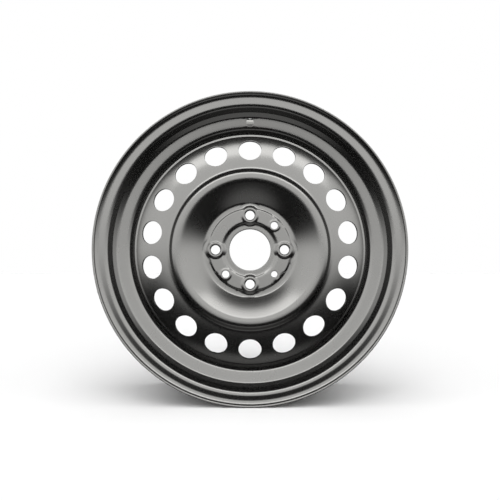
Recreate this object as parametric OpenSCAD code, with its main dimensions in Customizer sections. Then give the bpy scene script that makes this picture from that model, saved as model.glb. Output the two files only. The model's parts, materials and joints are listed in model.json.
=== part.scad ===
// Pressed steel car wheel: a rolled rim, a stamped disc with eighteen vents, and the weld beads between them.
// The wheel stands upright with its axle along Y. The street side faces -Y and the valve hole is at the top.
// Every sheet outline lies in a half plane as [radius, place along the axle], and is spun about the axle.

/* [Rim] */
// Bead seat diameter at the flange, 16 inches nominal
rim_d = 405.6; // [380:0.1:440]
// Width between the flanges, 6 inches nominal
rim_w = 152.4; // [135:0.1:185]
// Thickness of the rim sheet
rim_t = 2.8; // [2.2:0.1:3.4]
// Height of the flange above the bead seat
flange_h = 17.5; // [17:0.1:19]
// Width of the flange, from the tyre's side to the lip
flange_w = 13; // [11:0.1:15]
// Radius of the flange curl on the tyre's side
curl_r = 8.3; // [7:0.1:9]
// Radius of the heel between bead seat and flange on the tyre's side
heel_r = 2.2; // [2:0.1:5]
// Lean of the flange wall where heel meets curl
flange_lean = 13; // [8:1:20]
// Inward slope of the lip
lip_slope = 12; // [5:1:20]
// Slope of the bead seat
seat_slope = 5; // [4:0.5:6]
// Width of the bead seat up to the hump
seat_w = 20.5; // [19:0.1:22]
// Height of the hump above the end of the bead seat
hump_h = 1.1; // [0.6:0.1:1.6]
// Rounding of the sheet's cut edges
rim_edge_r = 0.9; // [0.3:0.1:1.1]

/* [Drop Centre] */
// Depth of the drop centre below the bead seat
well_depth = 23; // [18:0.1:28]
// Width of the flat bottom of the drop centre
well_w = 40; // [36:0.5:46]
// Slope of the outer well wall, measured from the wheel's plane
well_wall_slope = 9; // [5:1:14]
// Distance from the outer flange to the top of the outer well wall
well_wall_in = 38; // [36:0.1:40]
// Drop from the bead seat diameter to the top of either well wall
well_wall_drop = 6.3; // [5:0.1:8]
// Distance from the inner flange to the top of the inner slope
inner_slope_in = 31; // [30:0.1:40]

/* [Valve Hole] */
// Diameter of the valve hole
valve_hole_d = 11.5; // [8:0.1:14]
// Distance from the bottom of the drop centre to the valve hole's centre
valve_rise = 10.4; // [9.8:0.1:11]

/* [Hub Seat] */
// Offset: distance from the wheel's middle plane to the face that meets the hub
hub_offset = 41; // [30:0.5:50]
// Thickness of the disc sheet
disc_t = 4.2; // [3.4:0.1:4.8]
// Diameter of the centre bore
bore_d = 60.1; // [50:0.1:66]
// Bolt circle diameter
pcd = 100; // [98:0.1:110]
// Width of the raised lug ring
lug_ring_w = 18; // [16:0.1:19]
// Height of the lug ring above the hub seat
lug_ring_h = 4; // [2.5:0.1:5]
// Run of the step inside the lug ring
inner_step_run = 2.9; // [2.5:0.1:3.5]
// Run of the step outside the lug ring
outer_step_run = 2; // [1.5:0.1:3]
// Width of the flat seat ring outside the lug ring
seat_ring_w = 7.4; // [5:0.1:9]

/* [Lugs] */
// Number of wheel bolts
lug_count = 4; // [3:1:5]
// Diameter of a bolt hole
lug_hole_d = 13.4; // [12:0.1:15]
// Outer diameter of the crown round a bolt hole
lug_crown_d = 21.2; // [19:0.1:22]
// Height of the crown above the lug ring
lug_crown_h = 2.7; // [1.5:0.1:3.5]
// Outer slope of the crown, measured from the wheel's plane
lug_crown_slope = 56; // [45:1:70]
// Full angle of the cone that seats a bolt
lug_cone_angle = 60; // [50:1:90]
// Depth of the cone that seats a bolt
lug_cone_h = 2.6; // [1:0.1:3]
// Radius of the clearance for a wrench socket, at the seat ring
socket_r = 18.9; // [17:0.1:20]
// Diameter of the two locating holes
locating_hole_d = 10.6; // [8:0.1:12]
// Outer diameter of the collar round a locating hole
locating_collar_d = 15.4; // [14:0.1:17]
// Height of that collar above the lug ring
locating_collar_h = 1.6; // [0.8:0.1:2.5]
// Diameter of the plain hole for the brake disc's screw
screw_hole_d = 9; // [6:0.1:11]

/* [Disc] */
// Diameter of the nose's crest
nose_d = 206.2; // [200:0.1:214]
// Width of the nose between its two bends
nose_w = 10.5; // [8:0.1:12]
// Height of the nose above the hub seat's front
nose_h = 36.2; // [30:0.1:40]
// How far the dish wall bulges from a straight cone
dish_bow = 3.6; // [0.5:0.1:4.5]
// Fall from the nose to the vent ring
nose_fall = 17.4; // [12:0.1:20]
// Run of that fall
nose_fall_run = 7.5; // [6:0.1:10]
// Slope of the vent ring inside the vents
vent_ring_slope = 12; // [8:1:16]
// Slope of the shoulder outside the vents
shoulder_slope = 57; // [52:1:60]
// Distance from the ledge in to the radius where those two slopes meet
shoulder_run = 17.1; // [14:0.1:20]
// Width of the narrow ledge outside the shoulder
ledge_w = 2.5; // [2.4:0.1:4]
// Slope of that ledge
ledge_slope = 18; // [14:1:24]
// Distance from the ledge out to the skirt
brow_w = 6.1; // [5:0.1:7]
// Slope of the sheet between the ledge and the skirt
brow_slope = 66; // [60:1:72]
// Length of the skirt that is pressed into the rim
skirt_l = 11.5; // [10:0.1:13]
// Gap left between skirt and rim
press_gap = 0.05; // [0.02:0.01:0.1]
// Rounding of the disc's cut edges
disc_edge_r = 0.6; // [0.2:0.1:1]

/* [Vents] */
// Number of vents
vent_count = 18; // [8:1:20]
// Diameter of a vent
vent_d = 33.4; // [20:0.1:34]
// Distance from the skirt's outside to the vents' circle
vent_inset = 32.4; // [31:0.1:34]
// Tilt of the vents' axes from the axle
vent_tilt = 7; // [0:1:20]

/* [Welds] */
// Number of weld beads
weld_count = 8; // [8:1:8]
// Arc that each bead covers
weld_arc = 26; // [10:1:40]
// Leg of a bead
weld_leg = 4.4; // [3:0.1:5]

/* [Hidden] */
$fn = 180;
// Largest distance between a bend and the chords that draw it
BEND_CHORD = 0.03;
// Least radius on the inside of a bend
FOLD_R = 0.5;
PAINT = "DimGray";
WELD_PAINT = "SlateGray";
OVER = 1;
HOLE_REACH = 30;
// The gaps between lugs, counted clockwise, that hold the locating holes and the screw's hole
LOCATING_GAPS = [0, 2];
SCREW_GAP = 1;
// Slope of the side of the wrench room, measured from the wheel's plane
SOCKET_SLOPE = 72;

// Radii that the rim and the disc share
seat_r = rim_d / 2;
flange_r = seat_r + flange_h;
flange_y = rim_w / 2;
well_r = seat_r - well_depth;
well_inside_r = well_r - rim_t;
skirt_r = well_inside_r - press_gap;

// Places along the axle, from the street side inwards
hub_seat_y = -hub_offset;
seat_front_y = hub_seat_y - disc_t;
lug_front_y = seat_front_y - lug_ring_h;
nose_y = seat_front_y - nose_h;
groove_y = nose_y + nose_fall;

// Radii of the disc, from the bore outwards
lug_r = pcd / 2;
lug_ring_in_r = lug_r - lug_ring_w / 2;
lug_ring_out_r = lug_r + lug_ring_w / 2;
lug_turn = 360 / lug_count;
dish_foot_r = lug_ring_out_r + outer_step_run + seat_ring_w;
nose_in_r = (nose_d - nose_w) / 2;
nose_out_r = (nose_d + nose_w) / 2;
groove_r = nose_out_r + nose_fall_run;
brow_r = skirt_r - brow_w;
ledge_r = brow_r - ledge_w;
shoulder_r = ledge_r - shoulder_run;
shoulder_y = groove_y + (shoulder_r - groove_r) * tan(vent_ring_slope);
ledge_y = shoulder_y + shoulder_run * tan(shoulder_slope);
brow_y = ledge_y + ledge_w * tan(ledge_slope);
skirt_y = brow_y + brow_w * tan(brow_slope);
skirt_end_y = skirt_y + skirt_l;

// The bends of the nose, no wider than fits on its crest
NOSE_IN_R = 9.6;
NOSE_OUT_R = 7;
NOSE_BEND_SHARE = 0.49;
dish_mid = [(dish_foot_r + nose_in_r) / 2, (seat_front_y + nose_y) / 2 - dish_bow];
nose_in_slope = atan((dish_mid[1] - nose_y) / (nose_in_r - dish_mid[0]));
nose_out_slope = atan(nose_fall / nose_fall_run);
nose_in_bend_r = min(NOSE_IN_R, NOSE_BEND_SHARE * nose_w / tan(nose_in_slope / 2));
nose_out_bend_r = min(NOSE_OUT_R, NOSE_BEND_SHARE * nose_w / tan(nose_out_slope / 2));

// The wide bend of the dish wall, which leaves room for the bends at the wall's two ends
DISH_FOOT_R = 4.6;
DISH_BEND_SHARE = 0.9;
dish_foot_slope = atan((seat_front_y - dish_mid[1]) / (dish_mid[0] - dish_foot_r));
dish_bend_run = DISH_BEND_SHARE * min(
    (nose_in_r - dish_mid[0]) / cos(nose_in_slope) - nose_in_bend_r * tan(nose_in_slope / 2),
    (dish_mid[0] - dish_foot_r) / cos(dish_foot_slope) - DISH_FOOT_R * tan(dish_foot_slope / 2)
);
dish_bend_r = dish_bend_run / tan((dish_foot_slope - nose_in_slope) / 2);

// The wide bend that carries the vents, between the vent ring's slope and the shoulder's
SHOULDER_IN_SHARE = 0.8;
SHOULDER_OUT_SHARE = 0.93;
shoulder_bend_run = min(
    SHOULDER_IN_SHARE * (shoulder_r - groove_r) / cos(vent_ring_slope),
    SHOULDER_OUT_SHARE * shoulder_run / cos(shoulder_slope)
);
shoulder_bend_r = shoulder_bend_run / tan((shoulder_slope - vent_ring_slope) / 2);
shoulder_bend_centre = [
    shoulder_r - shoulder_bend_run * cos(vent_ring_slope) - shoulder_bend_r * sin(vent_ring_slope),
    shoulder_y - shoulder_bend_run * sin(vent_ring_slope) + shoulder_bend_r * cos(vent_ring_slope)
];
vent_r = skirt_r - vent_inset;
vent_y = shoulder_bend_centre[1] - sqrt(shoulder_bend_r ^ 2 - (vent_r - shoulder_bend_centre[0]) ^ 2);

// The disc's other bend radii on its street side
INNER_STEP_FOOT_R = 4;
INNER_STEP_TOP_R = 3.5;
OUTER_STEP_R = 1.8;
GROOVE_R = 7;
LEDGE_R = 0.4;
BROW_R = 1.2;
SKIRT_R = 12;

// Bend radii of the rim on the tyre's side
HUMP_FOOT_R = 6;
HUMP_R = 5;
WELL_WALL_TOP_R = 6.5;
WELL_FOOT_R = 2.6;
WELL_END_R = 18;
INNER_SLOPE_R = 14;
// Length of the hump's rise
HUMP_RUN = 4;

// Plane geometry
function unit(v) = v / norm(v);
function left_of(v) = [-v[1], v[0]];
function heading(p, q) = unit([q[0] - p[0], q[1] - p[1]]);
function turned(v, a) = [v[0] * cos(a) - v[1] * sin(a), v[0] * sin(a) + v[1] * cos(a)];
// Point where the line through p along u crosses the line through q along v
function meet(p, u, q, v) = p + u * (cross(q - p, v) / cross(u, v));

// Points of one bend: the corner b between a and c, rounded by b's radius, on the line that lies q
// to the left of the corners. On the inside of a tight fold the line keeps a small radius.
function bend(a, b, c, q) =
    let (
        u = heading(a, b),
        v = heading(b, c),
        side = cross(u, v) < 0 ? -1 : 1,
        angle = acos(min(1, u * v)),
        corner = [b[0], b[1]] + q * (left_of(u) + left_of(v)) / (1 + u * v),
        r = max(FOLD_R, b[2] - side * q),
        centre = corner - u * (r * tan(angle / 2)) + side * r * left_of(u),
        steps = max(2, ceil(angle / (2 * acos(1 - BEND_CHORD / r))))
    )
    [for (k = [0:steps]) centre + r * turned(-side * left_of(u), side * angle * k / steps)];

// All the bends of a path of [radius, place, bend radius] corners, without its two ends
function bends(path, q) = [for (i = [1:len(path) - 2]) each bend(path[i - 1], path[i], path[i + 1], q)];

// A cut edge with two rounded corners: it ends the sheet at p, where the sheet runs along u
// and its other face lies t to the left
function cut_edge(p, u, t, r) =
    let (
        n = left_of(u),
        near = p - u * r + n * r,
        far = p - u * r + n * (t - r)
    )
    [for (k = [0:3]) near + r * turned(-n, 30 * k), for (k = [0:3]) far + r * turned(u, 30 * k)];

function reversed(list) = [for (i = [len(list) - 1:-1:0]) list[i]];

// Closed outline of a bent sheet. The path is one face, and the other face lies t to its left.
function sheet(path, t, edge_r) =
    let (
        last = len(path) - 1,
        u0 = heading(path[0], path[1]),
        u1 = heading(path[last - 1], path[last]),
        start = [path[0][0], path[0][1]],
        end = [path[last][0], path[last][1]]
    )
    concat(
        bends(path, 0),
        cut_edge(end, u1, t, edge_r),
        reversed(bends(path, t)),
        cut_edge(start + t * left_of(u0), -u0, t, edge_r)
    );

// Corners of a flange, its bead seat and its hump on the tyre's side, from the lip inwards, as
// [radius, distance in from the flange plane, bend radius]
function flange_corners() =
    let (
        curl = [flange_r - curl_r, -curl_r],
        lip_run = [sin(lip_slope), cos(lip_slope)],
        lip_at = curl + curl_r * [cos(lip_slope), -sin(lip_slope)],
        wall_run = [cos(flange_lean), sin(flange_lean)],
        wall_at = curl + curl_r * [-sin(flange_lean), cos(flange_lean)],
        lip_end = lip_at - lip_run * ((flange_w + lip_at[1]) / cos(lip_slope)),
        curl_corner = meet(lip_at, lip_run, wall_at, wall_run),
        heel_corner = meet(wall_at, wall_run, [seat_r, 0], [-tan(seat_slope), 1]),
        hump_foot_r = seat_r - seat_w * tan(seat_slope)
    )
    [
        [lip_end[0], lip_end[1], 0],
        [curl_corner[0], curl_corner[1], curl_r],
        [heel_corner[0], heel_corner[1], heel_r],
        [hump_foot_r, seat_w, HUMP_FOOT_R],
        [hump_foot_r + hump_h, seat_w + HUMP_RUN, HUMP_R]
    ];

well_foot_in = well_wall_in + (well_depth - well_wall_drop) * tan(well_wall_slope);
well_start_y = -flange_y + well_foot_in;

function rim_path() = concat(
    [for (c = flange_corners()) [c[0], c[1] - flange_y, c[2]]],
    [
        [seat_r - well_wall_drop, well_wall_in - flange_y, WELL_WALL_TOP_R],
        [well_r, well_start_y, WELL_FOOT_R],
        [well_r, well_start_y + well_w, WELL_END_R],
        [seat_r - well_wall_drop, flange_y - inner_slope_in, INNER_SLOPE_R]
    ],
    reversed([for (c = flange_corners()) [c[0], flange_y - c[1], c[2]]])
);

function disc_path() = [
    [bore_d / 2, seat_front_y, 0],
    [lug_ring_in_r - inner_step_run, seat_front_y, INNER_STEP_FOOT_R],
    [lug_ring_in_r, lug_front_y, INNER_STEP_TOP_R],
    [lug_ring_out_r, lug_front_y, OUTER_STEP_R],
    [lug_ring_out_r + outer_step_run, seat_front_y, OUTER_STEP_R],
    [dish_foot_r, seat_front_y, DISH_FOOT_R],
    [dish_mid[0], dish_mid[1], dish_bend_r],
    [nose_in_r, nose_y, nose_in_bend_r],
    [nose_out_r, nose_y, nose_out_bend_r],
    [groove_r, groove_y, GROOVE_R],
    [shoulder_r, shoulder_y, shoulder_bend_r],
    [ledge_r, ledge_y, LEDGE_R],
    [brow_r, brow_y, BROW_R],
    [skirt_r, skirt_y, SKIRT_R],
    [skirt_r, skirt_end_y, 0]
];

// Turns the half plane's axis, which OpenSCAD spins about Z, onto the axle
module on_axle() rotate([-90, 0, 0]) children();

// Puts children at radius r, at an angle counted clockwise from the top as seen from the street
module at_clock(angle, r = 0) rotate([0, 0, angle - 90]) translate([r, 0, 0]) children();

// Spins an outline about the axle. The seam lies at 30 degrees, where no hole crosses it.
module spun(outline) at_clock(30) rotate_extrude() polygon(outline);

module around_lugs() {
    for (i = [0:lug_count - 1]) at_clock(i * lug_turn, lug_r) children();
}

// Puts children midway between two lugs: gap 0 follows the top lug
module in_lug_gap(gap) at_clock((gap + 0.5) * lug_turn, lug_r) children();

// A crown raised on the lug ring, from its top down into the seat ring
module crown(top_d, h, slope) {
    foot_h = h + lug_ring_h + disc_t / 4;
    translate([0, 0, lug_front_y - h])
        cylinder(h = foot_h, d1 = top_d, d2 = top_d + 2 * foot_h / tan(slope));
}

// The hollow behind a crown, which leaves the sheet about its own thickness
module crown_hollow(top_d, h, slope) {
    hollow_h = h + lug_ring_h + OVER;
    translate([0, 0, lug_front_y - h + disc_t])
        cylinder(h = hollow_h, d1 = top_d - disc_t, d2 = top_d - disc_t + 2 * hollow_h / tan(slope));
}

// A bolt's hole with its cone, as one turned shape
module lug_hole() {
    cone_mouth_r = lug_hole_d / 2 + lug_cone_h * tan(lug_cone_angle / 2);
    translate([0, 0, lug_front_y - lug_crown_h]) rotate_extrude() polygon([
        [0, -OVER],
        [cone_mouth_r + OVER * tan(lug_cone_angle / 2), -OVER],
        [lug_hole_d / 2, lug_cone_h],
        [lug_hole_d / 2, HOLE_REACH],
        [0, HOLE_REACH]
    ]);
}

module plain_hole(d) translate([0, 0, seat_front_y])
    cylinder(h = 2 * HOLE_REACH, d = d, center = true);

// Room for a wrench socket, pressed into the foot of the dish
module socket_room() {
    room_h = nose_h / 2;
    difference() {
        around_lugs() translate([0, 0, seat_front_y - room_h])
            cylinder(h = room_h, r1 = socket_r + room_h / tan(SOCKET_SLOPE), r2 = socket_r);
        translate([0, 0, seat_front_y - nose_h]) cylinder(h = 2 * nose_h, r = dish_foot_r - DISH_FOOT_R);
    }
}

module rim() {
    valve_r = well_inside_r + valve_rise;
    valve_y = well_start_y - (valve_r - well_inside_r) * tan(well_wall_slope);
    color(PAINT) on_axle() difference() {
        spun(sheet(rim_path(), rim_t, rim_edge_r));
        at_clock(0, valve_r) translate([0, 0, valve_y]) rotate([0, well_wall_slope, 0])
            cylinder(h = 30, d = valve_hole_d, center = true);
    }
}

module disc() {
    color(PAINT) on_axle() difference() {
        union() {
            difference() {
                spun(sheet(disc_path(), disc_t, disc_edge_r));
                socket_room();
            }
            around_lugs() crown(lug_crown_d, lug_crown_h, lug_crown_slope);
            for (gap = LOCATING_GAPS) in_lug_gap(gap)
                crown(locating_collar_d, locating_collar_h, lug_crown_slope);
        }
        around_lugs() crown_hollow(lug_crown_d, lug_crown_h, lug_crown_slope);
        around_lugs() lug_hole();
        for (gap = LOCATING_GAPS) in_lug_gap(gap) plain_hole(locating_hole_d);
        in_lug_gap(SCREW_GAP) plain_hole(screw_hole_d);
        for (i = [0:vent_count - 1]) at_clock(i * 360 / vent_count, vent_r)
            translate([0, 0, vent_y]) rotate([0, -vent_tilt, 0])
                cylinder(h = 2 * HOLE_REACH, d = vent_d, center = true);
    }
}

// One bead in the corner between the skirt's end and the rim
module weld_bead(i) {
    corner = [well_inside_r, skirt_end_y];
    bead = [
        corner,
        corner + [0, weld_leg],
        corner + weld_leg * [-0.45, 0.68],
        corner + weld_leg * [-0.78, 0.36],
        corner + [-0.9 * weld_leg, 0]
    ];
    color(WELD_PAINT) on_axle() at_clock((i + 0.5) * 360 / weld_count - weld_arc / 2)
        rotate_extrude(angle = weld_arc) polygon(bead);
}

rim();
disc();
weld_bead(0);  // weld_1
weld_bead(1);  // weld_2
weld_bead(2);  // weld_3
weld_bead(3);  // weld_4
weld_bead(4);  // weld_5
weld_bead(5);  // weld_6
weld_bead(6);  // weld_7
weld_bead(7);  // weld_8
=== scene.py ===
"""Builds the surfaces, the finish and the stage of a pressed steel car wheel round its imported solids."""

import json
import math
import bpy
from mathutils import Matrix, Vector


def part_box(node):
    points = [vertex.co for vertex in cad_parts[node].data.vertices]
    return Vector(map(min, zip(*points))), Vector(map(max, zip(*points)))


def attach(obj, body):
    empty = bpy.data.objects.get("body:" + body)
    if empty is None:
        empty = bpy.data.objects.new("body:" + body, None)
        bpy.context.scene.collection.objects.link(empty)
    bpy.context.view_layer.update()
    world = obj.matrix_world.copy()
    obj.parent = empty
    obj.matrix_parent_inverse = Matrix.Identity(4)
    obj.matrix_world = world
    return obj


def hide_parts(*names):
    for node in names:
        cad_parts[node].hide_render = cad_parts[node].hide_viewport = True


bl_info = {
    "name": "Pressed Steel Wheel",
    "version": (1, 0, 0),
    "blender": (4, 5, 0),
    "location": "View3D > Sidebar > Wheel",
    "description": "Rolled rim, stamped disc and weld beads of a steel car wheel, with paint and stage",
    "category": "Add Mesh",
}

from bisect import bisect_right

import bmesh
import bpy
from bpy.props import (
    FloatProperty,
    FloatVectorProperty,
    IntProperty,
    PointerProperty,
)
from mathutils import Matrix, Vector, noise

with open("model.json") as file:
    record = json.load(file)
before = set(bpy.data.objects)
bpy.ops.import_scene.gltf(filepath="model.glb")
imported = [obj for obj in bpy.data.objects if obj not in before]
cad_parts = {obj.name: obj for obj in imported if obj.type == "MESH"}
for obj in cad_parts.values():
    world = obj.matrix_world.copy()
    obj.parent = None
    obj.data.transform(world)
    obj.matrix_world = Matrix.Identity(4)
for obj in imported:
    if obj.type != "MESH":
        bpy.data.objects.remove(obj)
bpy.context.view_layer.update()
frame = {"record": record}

MM = 0.001
BODY = "root"
MOUNTS = {mount["name"]: mount for mount in frame["record"]["mounts"]}
DISC_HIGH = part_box("disc")[1]
RIM_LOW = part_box("rim")[0]

LUG_CIRCLE = MOUNTS["lug_holes"]["dims"]["pcd_mm"] * MM / 2
LUG_CLOCKS = [
    math.tau * k / MOUNTS["lug_holes"]["dims"]["count"]
    for k in range(MOUNTS["lug_holes"]["dims"]["count"])
]
LOCATING_CLOCKS = (math.radians(45), math.radians(225))

AXLE = Vector((0, 1, 0))

# Marks of a sheet's vertices. The near side is the disc's street side or the rim's tyre side, the
# far side is the other one, and the cap is a cut edge.

NEAR, FAR, CAP = 0, 1, 2


def length(name, default, description):
    """A length that the sidebar shows, in metres."""
    return FloatProperty(
        name=name, description=description, default=default, min=0, precision=5, unit="LENGTH"
    )


def angle(name, default, description):
    """An angle that the sidebar shows. The default is in degrees."""
    return FloatProperty(
        name=name, description=description, default=math.radians(default), subtype="ANGLE"
    )


def share(name, default, description):
    """A number from 0 to 1 that the sidebar shows."""
    return FloatProperty(
        name=name, description=description, default=default, min=0, max=1, subtype="FACTOR"
    )


def colour(name, default, description):
    """A colour that the sidebar shows."""
    return FloatVectorProperty(
        name=name, description=description, default=default, size=3, min=0, max=1, subtype="COLOR"
    )


class WheelRimSizes(bpy.types.PropertyGroup):
    """Sizes of the rolled rim."""

    seat_radius: length("Seat radius", 202.8 * MM, "Radius of the bead seat at the flange")
    width: length("Width", 152.4 * MM, "Distance between the flanges")
    thickness: length("Thickness", 2.8 * MM, "Thickness of the rim sheet")
    flange_height: length("Flange height", 17.5 * MM, "Height of the flange above the seat")
    flange_width: length("Flange width", 13 * MM, "Width of the flange up to the lip")
    curl_radius: length("Curl radius", 8.3 * MM, "Radius of the flange curl on the tyre's side")
    heel_radius: length("Heel radius", 2.2 * MM, "Radius between seat and flange")
    flange_lean: angle("Flange lean", 13, "Lean of the flange wall")
    lip_slope: angle("Lip slope", 12, "Inward slope of the lip")
    seat_slope: angle("Seat slope", 5, "Slope of the bead seat")
    seat_width: length("Seat width", 20.5 * MM, "Width of the seat up to the hump")
    hump_height: length("Hump height", 1.1 * MM, "Height of the hump")
    hump_run: length("Hump run", 4 * MM, "Length of the hump's rise")
    hump_foot_bend: length("Hump foot bend", 6 * MM, "Radius of the bend at the hump's foot")
    hump_bend: length("Hump bend", 5 * MM, "Radius of the bend over the hump")
    edge_radius: length("Edge radius", 0.9 * MM, "Rounding of the cut edges")
    well_depth: length("Well depth", 23 * MM, "Depth of the drop centre")
    well_width: length("Well width", 40 * MM, "Width of the drop centre's flat bottom")
    wall_slope: angle("Wall slope", 9, "Slope of the outer well wall")
    wall_in: length("Wall inset", 38 * MM, "Distance from the flange to the outer well wall")
    wall_drop: length("Wall drop", 6.3 * MM, "Drop from the seat to the top of the wall")
    wall_top_bend: length("Wall top bend", 6.5 * MM, "Radius of the bend on top of that wall")
    wall_foot_bend: length("Wall foot bend", 2.6 * MM, "Radius of the bend at that wall's foot")
    inner_slope_in: length("Inner slope inset", 31 * MM, "Distance from flange to inner slope")
    slope_foot_bend: length("Slope foot bend", 18 * MM, "Radius of the bend at that slope's foot")
    slope_top_bend: length("Slope top bend", 14 * MM, "Radius of the bend on top of that slope")
    valve_edge: length("Valve edge", 0.35 * MM, "Rounding of the valve hole's edge")
    row_gap: length("Row gap", 3 * MM, "Distance between the mesh's rows on a straight run")
    columns: IntProperty(name="Columns", description="Steps of the spin", default=288, min=36)


class WheelDiscSizes(bpy.types.PropertyGroup):
    """Sizes of the stamped disc."""

    thickness: length("Thickness", 4.2 * MM, "Thickness of the disc sheet")
    ring_width: length("Lug ring width", 18 * MM, "Width of the raised lug ring")
    ring_height: length("Lug ring height", 4 * MM, "Height of the lug ring")
    inner_step_run: length("Inner step", 2.9 * MM, "Run of the step inside the lug ring")
    inner_foot_bend: length("Inner foot bend", 4 * MM, "Radius of the bend at that step's foot")
    inner_step_bend: length("Inner step bend", 3.5 * MM, "Radius of the bend on top of that step")
    outer_step_run: length("Outer step", 2 * MM, "Run of the step outside the lug ring")
    outer_step_bend: length("Outer step bend", 1.8 * MM, "Radius of that step's two bends")
    seat_ring_width: length("Seat ring", 7.4 * MM, "Width of the flat ring outside the step")
    nose_radius: length("Nose radius", 103.1 * MM, "Radius of the nose's crest")
    nose_width: length("Nose width", 10.5 * MM, "Width of the nose between its bends")
    nose_height: length("Nose height", 36.2 * MM, "Height of the nose above the seat ring")
    dish_foot_bend: length("Dish foot bend", 4.6 * MM, "Radius of the bend at the dish's foot")
    dish_bow: length("Dish bow", 3.6 * MM, "How far the dish wall bulges from a straight cone")
    dish_bend: length("Dish bend", 152.5 * MM, "Radius of the dish wall's wide bend")
    nose_in_bend: length("Inner nose bend", 9.6 * MM, "Radius of the bend into the nose's crest")
    nose_out_bend: length("Outer nose bend", 7 * MM, "Radius of the bend out of the nose's crest")
    nose_fall: length("Nose fall", 17.4 * MM, "Fall from the nose to the vent ring")
    nose_fall_run: length("Nose fall run", 7.5 * MM, "Run of that fall")
    groove_bend: length("Groove bend", 7 * MM, "Radius of the groove between nose and vent ring")
    vent_ring_slope: angle("Inner ring slope", 12, "Slope of the vent ring at its inner side")
    shoulder_slope: angle("Outer ring slope", 57, "Slope of the vent ring at its outer side")
    shoulder_run: length("Shoulder run", 17.1 * MM, "From the ledge in to where the slopes meet")
    shoulder_bend: length("Shoulder bend", 70 * MM, "Radius of the bend that carries the vents")
    ledge_width: length("Ledge width", 2.5 * MM, "Width of the ledge outside the shoulder")
    ledge_slope: angle("Ledge slope", 18, "Slope of the ledge")
    ledge_bend: length("Ledge bend", 0.4 * MM, "Radius of the fold between shoulder and ledge")
    brow_width: length("Brow width", 6.1 * MM, "Distance from the ledge out to the skirt")
    brow_slope: angle("Brow slope", 66, "Slope of the sheet between ledge and skirt")
    brow_bend: length("Brow bend", 1.2 * MM, "Radius of the bend at the ledge's outer edge")
    skirt_bend: length("Skirt bend", 12 * MM, "Radius of the bend into the skirt")
    skirt_length: length("Skirt length", 11.5 * MM, "Length of the pressed-in skirt")
    edge_radius: length("Edge radius", 0.6 * MM, "Rounding of the cut edges")
    vent_count: IntProperty(name="Vents", description="Number of vents", default=18, min=3)
    vent_radius: length("Vent radius", 16.7 * MM, "Radius of a vent")
    vent_inset: length("Vent inset", 32.4 * MM, "Distance from the skirt to the vents' circle")
    vent_tilt: angle("Vent tilt", 7, "Tilt of the vents' axes from the axle")
    vent_edge: length("Vent edge", 0.5 * MM, "Rounding of a vent's edge")
    hub_row_gap: length("Hub row gap", 1.4 * MM, "Distance between the mesh's rows near the hub")
    row_gap: length("Row gap", 2.8 * MM, "Distance between the mesh's rows further out")
    columns: IntProperty(name="Columns", description="Steps of the spin", default=216, min=36)


class WheelLugSizes(bpy.types.PropertyGroup):
    """Sizes of the bolt crowns, the collars and the wrench room."""

    crown_radius: length("Crown radius", 10.6 * MM, "Radius of a crown's top")
    crown_height: length("Crown height", 2.7 * MM, "Height of a crown above the lug ring")
    crown_slope: angle("Crown slope", 56, "Slope of a crown's side")
    crown_foot: length("Crown foot", 2 * MM, "Softness of the fold round a crown's foot")
    crown_brim: length("Crown brim", 0.9 * MM, "Softness of the fold round a crown's top")
    cone_slope: angle("Cone slope", 30, "Half angle of the bolt's cone")
    cone_depth: length("Cone depth", 2.6 * MM, "Depth of the bolt's cone")
    collar_radius: length("Collar radius", 7.7 * MM, "Radius of the collar round a locating hole")
    collar_height: length("Collar height", 1.6 * MM, "Height of that collar")
    socket_radius: length("Socket radius", 18.9 * MM, "Radius of the room for a wrench socket")
    socket_slope: angle("Socket slope", 72, "Slope of the side of that room")
    socket_fold: length("Socket fold", 1.2 * MM, "Softness of the fold at that room's edge")
    hole_edge: length("Hole edge", 0.35 * MM, "Rounding of the edges of the holes")


class WheelWeldSizes(bpy.types.PropertyGroup):
    """Sizes of the weld beads behind the disc."""

    count: IntProperty(name="Beads", description="Number of beads", default=8, min=1)
    arc: angle("Arc", 26, "Arc that a bead covers")
    leg: length("Leg", 4.4 * MM, "Leg of a bead")
    ripple_pitch: length("Ripple pitch", 2.1 * MM, "Distance between two ripples")
    ripple_depth: length("Ripple depth", 0.28 * MM, "Depth of a ripple")


class WheelFinish(bpy.types.PropertyGroup):
    """Colours and strengths of the finishes."""

    paint: colour("Paint", (0.36, 0.357, 0.346), "Colour of the satin metallic paint")
    roughness: share("Roughness", 0.27, "Roughness of the paint")
    metallic: share("Metallic", 0.99, "How much the paint's flakes act as metal")
    mottle: share("Mottle", 0.05, "Variation of the paint's colour")
    # Partly painted shade: a real edge tint of the paint's reflections, set dark so that reflections at a
    # low angle dim and grazing bands such as the rim's bead seat darken in place of the shade the wheel's
    # own sheets would cast there.
    edge_tint_and_shade: colour("Edge tint", (0.12, 0.12, 0.12), "Tint of reflections at a low angle")
    peel_depth: length("Peel depth", 0.012 * MM, "Depth of the paint's orange peel")
    weld_paint: colour("Weld paint", (0.34, 0.337, 0.327), "Colour of the paint on the welds")
    weld_roughness: share("Weld roughness", 0.4, "Roughness of the paint on the welds")
    weld_peel: length("Weld peel", 0.036 * MM, "Depth of the orange peel on the welds")


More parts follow.
